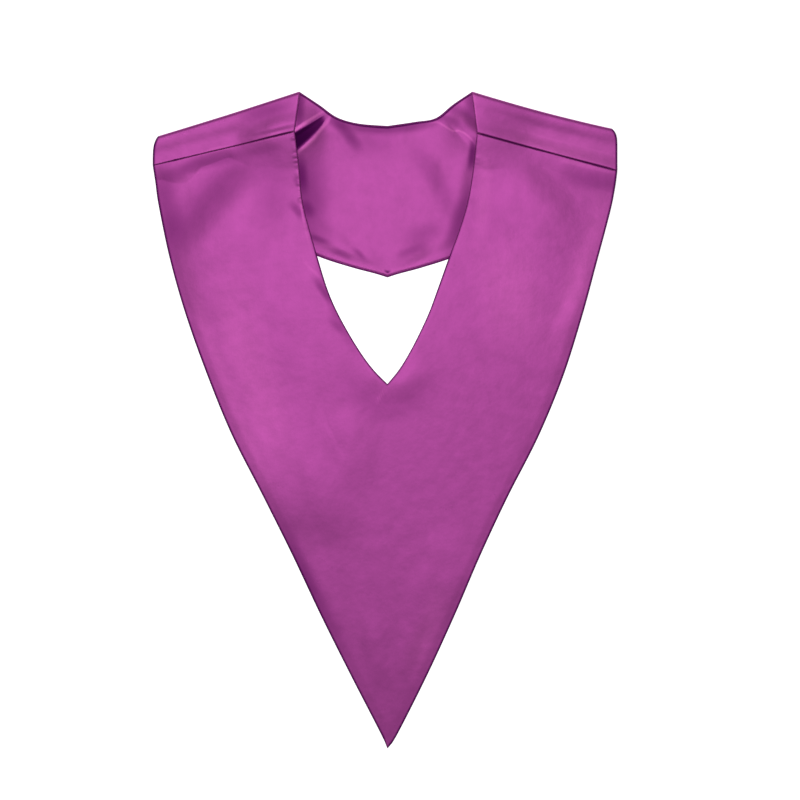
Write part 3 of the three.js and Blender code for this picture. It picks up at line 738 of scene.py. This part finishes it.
def cloth(name, grid, wall, tone=1.0, neck_rim=1.0, outer_rim=1.0):
    """A closed piece of cloth round a grid of points, with rolled edges, in metres. Its tone
    is 1 in plain satin; above 1 it is a painted highlight on a crest, and below 1 painted shade
    in a fold, in an open seam and along the rim."""
    rows, columns = grid.shape[:2]
    distances = edge_distances(grid)
    # The rim is painted dark, as shade where the edge turns down.
    outer = 1 - smooth(distances[0] * slant(grid)[:, None] / RIM_WIDTH["outer"])
    inner = 1 - smooth(distances[1] / RIM_WIDTH["neck"])
    tone = tone * lerp(1, RIM_TONE, np.maximum(outer * outer_rim, inner * neck_rim))
    near = 1 - np.minimum(np.min(distances, axis=0) / EDGE_ROUND, 1)
    half = wall / 2 * np.sqrt(np.maximum(1 - near**2, 0))
    normal = normals_of(grid)
    upper = grid + normal * half[..., None]
    lower = grid - normal * half[..., None]
    index = np.arange(rows * columns).reshape(rows, columns)
    rim = np.ones((rows, columns), bool)
    rim[1:-1, 1:-1] = False
    under = index.copy()
    under[~rim] = rows * columns + np.arange((~rim).sum())
    points = (np.vstack([upper.reshape(-1, 3), lower[~rim]]) - middle) * MM

    def quads(at, flip):
        corners = [at[:-1, :-1], at[:-1, 1:], at[1:, 1:], at[1:, :-1]]
        return np.stack(corners[::-1] if flip else corners, axis=-1).reshape(-1, 4)

    faces = np.vstack([quads(index, False), quads(under, True)])
    mesh = bpy.data.meshes.new(name)
    mesh.from_pydata(points.tolist(), [], faces.tolist())
    mesh.polygons.foreach_set("use_smooth", np.ones(len(faces), bool))
    flat = np.stack([distances[0], distances[2]], axis=-1)
    flat = np.vstack([flat.reshape(-1, 2), flat[~rim]]) * MM
    loops = np.empty(len(mesh.loops), np.int32)
    mesh.loops.foreach_get("vertex_index", loops)
    uv = mesh.uv_layers.new(name="Cloth")
    uv.data.foreach_set("uv", flat[loops].astype(np.float32).reshape(-1))
    tones = np.concatenate([tone.reshape(-1), tone[~rim]]).astype(np.float32)
    mesh.attributes.new("Tone", "FLOAT", "POINT").data.foreach_set("value", tones)
    mesh.update()
    piece = bpy.data.objects.new(name, mesh)
    bpy.context.scene.collection.objects.link(piece)
    return piece


def eased(count, ease=0.55):
    """Shares from 0 to 1, closer together at both ends."""
    even = np.linspace(0, 1, count)
    return lerp(even, 0.5 - 0.5 * np.cos(np.pi * even), ease)


def joined(left, right):
    """One grid from the left seam to the middle and on to the right seam."""
    return np.concatenate([left, right[::-1][1:]])


# The frame's origin in the plan: the front panel's box starts at the left widest point and
# at the tip.
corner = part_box("front_panel")[0]
middle = np.array([-SIDES["left"]["reach"] - corner[0] / MM, -corner[1] / MM, 0.0])


def rows_between(stops, counts):
    """Rows through a list of stops, with a count of steps between each two."""
    runs = [np.linspace(a, b, n, endpoint=False) for a, b, n in zip(stops, stops[1:], counts)]
    return np.concatenate([*runs, stops[-1:]])[:, None]


def front_panel():
    rows, columns = rows_between(FRONT_STOPS, FRONT_ROWS), eased(FRONT_COLUMNS)[None, :]
    rows, columns = np.broadcast_arrays(rows, columns)
    grid = joined(*(front_point(side, rows, columns) for side in (LEFT, RIGHT)))
    # Painted shade and painted highlight from the front's strokes.
    tone = 1 - ridges_height(FRONT_SHADES, grid[..., 0], grid[..., 1])
    in_the_open = smooth((NECK_GAP_TOP - grid[..., 1]) / NECK_GAP_FADE)
    return cloth("front_satin", grid, PANEL_WALL, tone, lerp(RIM_ON_CLOTH, 1, in_the_open))


def back_panel():
    rows, columns = rows_between(BACK_STOPS, BACK_ROWS), eased(BACK_COLUMNS)[None, :]
    grid = joined(*(back_point(side, rows, columns) for side in (LEFT, RIGHT)))
    # Painted shade and painted highlight from the bands' strokes.
    tone = 1 - ridges_height(BAND_SHADES, grid[..., 0], grid[..., 1])
    neck_rim = np.where(rows < 1, RIM_ON_CLOTH, BACK_NECK_RIM)
    outer_rim = np.where(rows < 1, 1, HEM_RIM)
    rims = [joined(rim, rim) for rim in (neck_rim, outer_rim)]
    return cloth("back_satin", grid, PANEL_WALL, tone, *rims)


def back_lining():
    grids, tones = [], []
    for side in (LEFT, RIGHT):
        first_row = (1 - TURN) * LINING_SEAM_SETBACK / side.flat_band
        rows = rows_between((first_row, *LINING_STOPS), LINING_ROWS)
        ends = back_point(side, rows, np.array([[0.0, 1.0]]))
        width = np.linalg.norm(ends[:, 1] - ends[:, 0], axis=-1)[:, None]
        past_fold_line = smooth((rows - 1) / LINING_NECK_EASES)
        first = LINING_EDGE_SETBACK / width
        last = 1 - lerp(LINING_NECK_SETBACK, LINING_NECK_SHOWS, past_fold_line) / width
        panel = back_point(side, rows, lerp(first, last, eased(LINING_COLUMNS)[None, :]))
        inside = panel + normals_of(panel) * lining_offset * side.sign
        moved, tone = tucked(side, inside)
        grids.append(np.where((rows > 1)[..., None], moved, inside))
        tones.append(np.where(rows > 1, tone, 1))
    grid, tone = joined(*grids), joined(*tones)
    return cloth("back_lining_satin", grid, LINING_WALL, tone, outer_rim=LINING_RIM)


def shoulder_seam(side):
    """The turned-in allowance under a seam, no wider than the front stands up over it."""
    seam = side.seam_neck - side.seam_edge
    length = np.linalg.norm(seam)
    down = np.array([-seam[1], seam[0]]) / length
    first, last = SEAM_SETBACK / length, 1 - LINING_NECK_SETBACK / length
    along = np.linspace(first, last, SEAM_COLUMNS)[None, :, None]
    width = np.minimum(np.interp(along, *zip(*side.band["step"])) - 1, SEAM_ALLOWANCE)
    from_seam = lerp(-SEAM_UNDERLAP, width, np.linspace(0, 1, SEAM_ROWS)[:, None, None])
    on_seam = lerp(side.seam_edge, side.seam_neck, along)
    point = on_seam + down * from_seam
    height = side.front_height(np.where(from_seam < 0, on_seam, point))
    grid = side.in_space(point, height - seam_offset)
    # The allowance is painted dark near the seam, as shade in the open slit.
    out_of_slit = smooth(np.abs(from_seam[..., 0]) - SLIT_SHADE)
    tone = np.broadcast_to(lerp(SLIT_TONE, 1, out_of_slit), grid.shape[:2])
    if side.sign > 0:
        grid, tone = grid[::-1], tone[::-1]
    return cloth("seam_allowance_" + side.name, grid, SEAM_WALL, tone)


class Nodes:
    """A material's nodes, made and joined in short lines."""

    def __init__(self, name):
        self.material = bpy.data.materials.new(name)
        self.material.use_nodes = True
        self.tree = self.material.node_tree
        self.shader = self.tree.nodes["Principled BSDF"]

    def add(self, kind, **values):
        node = self.tree.nodes.new(kind)
        for key, value in values.items():
            if hasattr(node, key):
                setattr(node, key, value)
            else:
                node.inputs[key.replace("_", " ").title()].default_value = value
        return node

    def link(self, output, target):
        self.tree.links.new(output, target)


def srgb(r, g, b):
    """An 8-bit sRGB colour as linear values."""
    shares = [c / 255 for c in (r, g, b)]
    return tuple(c / 12.92 if c <= 0.04045 else ((c + 0.055) / 1.055) ** 2.4 for c in shares)


# The satin's looks. Its colour, its colour of painted shade at half tone and of deep painted
# shade at none, how far the mottle takes it either way and between which values of its noise.
# Then the noises of the mottle, the weave and the ripple, and how the last two show in the
# surface, with their depth in metres. The weave is finer across the stole than along its length.
SATIN_COLOR = srgb(170, 71, 151)
INSIDE_COLOR = srgb(168, 70, 149)
SHADED = srgb(124, 28, 118)
DEEP_SHADE = srgb(76, 0, 82)
MOTTLE = 0.06
MOTTLE_RANGE = (0.35, 0.65)
MOTTLE_NOISE = dict(Scale=60.0, Detail=8.0, Roughness=0.7)
WEAVE_SCALE = (900, 420, 900)
WEAVE_NOISE = dict(Scale=1.0, Detail=3.0, Roughness=0.6)
WEAVE_BUMP = dict(Strength=0.12, Distance=0.0004)
RIPPLE_NOISE = dict(Scale=70.0, Detail=3.0, Roughness=0.5)
RIPPLE_BUMP = dict(Strength=0.3, Distance=0.001)
SATIN_ROUGHNESS = 0.5  # 1 in the depth of a fold
SATIN_METALLIC = 0.5
SATIN_SPECULAR = 0.12

# A colour Mix node's sockets.
FACTOR, COLOR_A, COLOR_B, COLOR_OUT = 0, 6, 7, 2


def satin(name, color):
    """Smooth polyester satin: a soft sheen, a fine uneven weave and slight slubs, with painted shade
    and painted highlight in its colour from the Tone attribute.
    """
    nodes = Nodes(name)
    shader = nodes.shader
    place = nodes.add("ShaderNodeTexCoord")
    mottle = nodes.add("ShaderNodeTexNoise", **MOTTLE_NOISE)
    nodes.link(place.outputs["Object"], mottle.inputs["Vector"])
    mottled = nodes.add("ShaderNodeValToRGB")
    dark, light = mottled.color_ramp.elements
    dark.position, light.position = MOTTLE_RANGE
    dark.color = (*[c * (1 - MOTTLE) for c in color], 1)
    light.color = (*[c * (1 + MOTTLE) for c in color], 1)
    nodes.link(mottle.outputs["Fac"], mottled.inputs["Fac"])

    # The painted tone, from no tone to half, from half to 1, and as far again past 1, where it
    # gets lighter: deep painted shade, then painted shade, then the satin's colour, then a painted
    # highlight.
    tone = nodes.add("ShaderNodeAttribute", attribute_name="Tone")
    to_half = nodes.add("ShaderNodeMapRange", From_Max=0.5)
    nodes.link(tone.outputs["Fac"], to_half.inputs["Value"])
    below_half = nodes.add("ShaderNodeMix", data_type="RGBA")
    below_half.inputs[COLOR_A].default_value = (*DEEP_SHADE, 1)
    below_half.inputs[COLOR_B].default_value = (*SHADED, 1)
    nodes.link(to_half.outputs["Result"], below_half.inputs[FACTOR])
    past_half = nodes.add("ShaderNodeMapRange", From_Min=0.5, From_Max=1.5, To_Max=2.0)
    nodes.link(tone.outputs["Fac"], past_half.inputs["Value"])
    above_half = nodes.add("ShaderNodeMix", data_type="RGBA", clamp_factor=False)
    nodes.link(past_half.outputs["Result"], above_half.inputs[FACTOR])
    nodes.link(below_half.outputs[COLOR_OUT], above_half.inputs[COLOR_A])
    nodes.link(mottled.outputs["Color"], above_half.inputs[COLOR_B])
    nodes.link(above_half.outputs[COLOR_OUT], shader.inputs["Base Color"])

    stretch = nodes.add("ShaderNodeMapping", Scale=WEAVE_SCALE)
    weave = nodes.add("ShaderNodeTexNoise", **WEAVE_NOISE)
    fine = nodes.add("ShaderNodeBump", **WEAVE_BUMP)
    nodes.link(place.outputs["Object"], stretch.inputs["Vector"])
    nodes.link(stretch.outputs["Vector"], weave.inputs["Vector"])
    nodes.link(weave.outputs["Fac"], fine.inputs["Height"])
    ripple = nodes.add("ShaderNodeTexNoise", **RIPPLE_NOISE)
    soft = nodes.add("ShaderNodeBump", **RIPPLE_BUMP)
    nodes.link(place.outputs["Object"], ripple.inputs["Vector"])
    nodes.link(ripple.outputs["Fac"], soft.inputs["Height"])
    nodes.link(fine.outputs["Normal"], soft.inputs["Normal"])
    nodes.link(soft.outputs["Normal"], shader.inputs["Normal"])

    dull = nodes.add("ShaderNodeMapRange", To_Min=1, To_Max=SATIN_ROUGHNESS)
    nodes.link(tone.outputs["Fac"], dull.inputs["Value"])
    nodes.link(dull.outputs["Result"], shader.inputs["Roughness"])
    shader.inputs["Metallic"].default_value = SATIN_METALLIC
    shader.inputs["Specular IOR Level"].default_value = SATIN_SPECULAR
    return nodes.material


SATIN = satin("satin", SATIN_COLOR)
SATIN_INSIDE = satin("satin_inside", INSIDE_COLOR)

front = front_panel()
back = back_panel()
lining = back_lining()
seams = {side.name: shoulder_seam(side) for side in (LEFT, RIGHT)}

for piece, material, slot, node in [
    (front, SATIN, "satin", "front_panel"),
    (back, SATIN, "satin", "back_panel"),
    (lining, SATIN_INSIDE, "satin_inside", "back_lining"),
    (seams["left"], SATIN_INSIDE, "satin_inside", "shoulder_seam_left"),
    (seams["right"], SATIN_INSIDE, "satin_inside", "shoulder_seam_right"),
]:
    piece.data.materials.append(material)
    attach(piece, "root")
    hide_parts(node)

# The floor lies just under the stole and glows a little, so that it stays white.
FLOOR_SIZE = 6
FLOOR_DROP = 0.0003
FLOOR_LOOK = {
    "Base Color": (0.9, 0.9, 0.9, 1),
    "Roughness": 0.8,
    "Emission Color": (1, 1, 1, 1),
    "Emission Strength": 0.75,
}
bpy.ops.mesh.primitive_plane_add(size=FLOOR_SIZE, location=(0, 0, -FLOOR_DROP))
floor = bpy.context.object
floor.name = "floor"
white = Nodes("floor_white")
for socket, value in FLOOR_LOOK.items():
    white.shader.inputs[socket].default_value = value
floor.data.materials.append(white.material)


def area_light(name, place, size, power, aim=(0, 0, 0)):
    """A round soft light at a place, turned towards its aim."""
    light = bpy.data.lights.new(name, "AREA")
    light.shape = "DISK"
    light.size = size
    light.energy = power
    lamp = bpy.data.objects.new(name, light)
    lamp.location = place
    lamp.rotation_euler = (Vector(aim) - Vector(place)).to_track_quat("-Z", "Y").to_euler()
    bpy.context.scene.collection.objects.link(lamp)


area_light("key", place=(-0.09, 0.28, 1.38), size=0.42, power=8.4, aim=(0, 0.1, 0))
area_light("fill", place=(0.1, 0.0, 1.9), size=1.6, power=2)

WORLD_STRENGTH = 0.18
world = bpy.data.worlds.new("studio")
world.use_nodes = True
background = world.node_tree.nodes["Background"]
background.inputs["Color"].default_value = (1, 1, 1, 1)
background.inputs["Strength"].default_value = WORLD_STRENGTH
bpy.context.scene.world = world
bpy.context.scene.view_settings.view_transform = "Standard"

# The camera looks straight down, with a view this wide around this point, in metres.
VIEW_WIDTH = 0.744
VIEW_CENTRE = (0.0138, 0.0188)
LENS = 200
SENSOR = 36
camera_data = bpy.data.cameras.new("camera")
camera_data.lens = LENS
camera_data.sensor_width = SENSOR
camera = bpy.data.objects.new("camera", camera_data)
camera.location = (*VIEW_CENTRE, VIEW_WIDTH * LENS / SENSOR)
bpy.context.scene.collection.objects.link(camera)
bpy.context.scene.camera = camera
